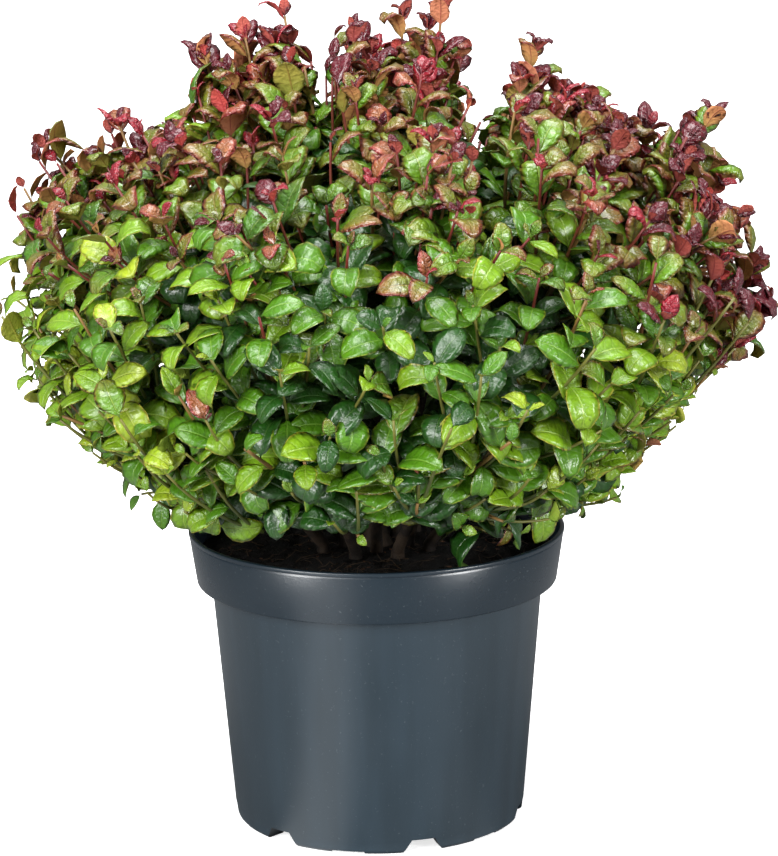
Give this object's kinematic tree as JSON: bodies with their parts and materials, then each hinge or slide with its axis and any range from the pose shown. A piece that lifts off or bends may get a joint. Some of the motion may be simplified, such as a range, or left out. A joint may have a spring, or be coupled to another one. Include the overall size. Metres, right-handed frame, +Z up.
{
  "type": "potted leucothoe",
  "caption": "Bushy curly-leaved evergreen shrub with red-flushed young shoots, growing as a clump in a plain round nursery pot with a deep collar and drain notches.",
  "frame": {"origin": "where the pot's axis meets the ground it stands on", "axes": "+Z up along the pot's axis; -Y is the side that the picture shows, +X its right"},
  "size_m": [0.4757, 0.4612, 0.5],
  "materials": {
    "pot_plastic": "dark slate-grey moulded plastic with a soft satin sheen and fine scuffs",
    "compost": "nearly black moist peat compost with tan chips and fibres",
    "bark": "thin brown bark, green-brown to red on the young wood",
    "foliage": "glossy puckered curled leaves, bright green below, bronze and dark red at the shoot tips"
  },
  "bodies": {
    "root": {"pot": "pot_plastic", "compost": "compost", "short_stem": "bark", "bough_top": "bark", "bough_inner_01": "bark", "bough_inner_02": "bark", "bough_inner_03": "bark", "bough_inner_04": "bark", "bough_inner_05": "bark", "bough_outer_01": "bark", "bough_outer_02": "bark", "bough_outer_03": "bark", "bough_outer_04": "bark", "bough_outer_05": "bark", "bough_outer_06": "bark", "bough_outer_07": "bark", "bough_outer_08": "bark", "bough_outer_09": "bark", "foliage_top": "foliage", "foliage_inner_01": "foliage", "foliage_inner_02": "foliage", "foliage_inner_03": "foliage", "foliage_inner_04": "foliage", "foliage_inner_05": "foliage", "foliage_outer_01": "foliage", "foliage_outer_02": "foliage", "foliage_outer_03": "foliage", "foliage_outer_04": "foliage", "foliage_outer_05": "foliage", "foliage_outer_06": "foliage", "foliage_outer_07": "foliage", "foliage_outer_08": "foliage", "foliage_outer_09": "foliage"}
  },
  "joints": []
}
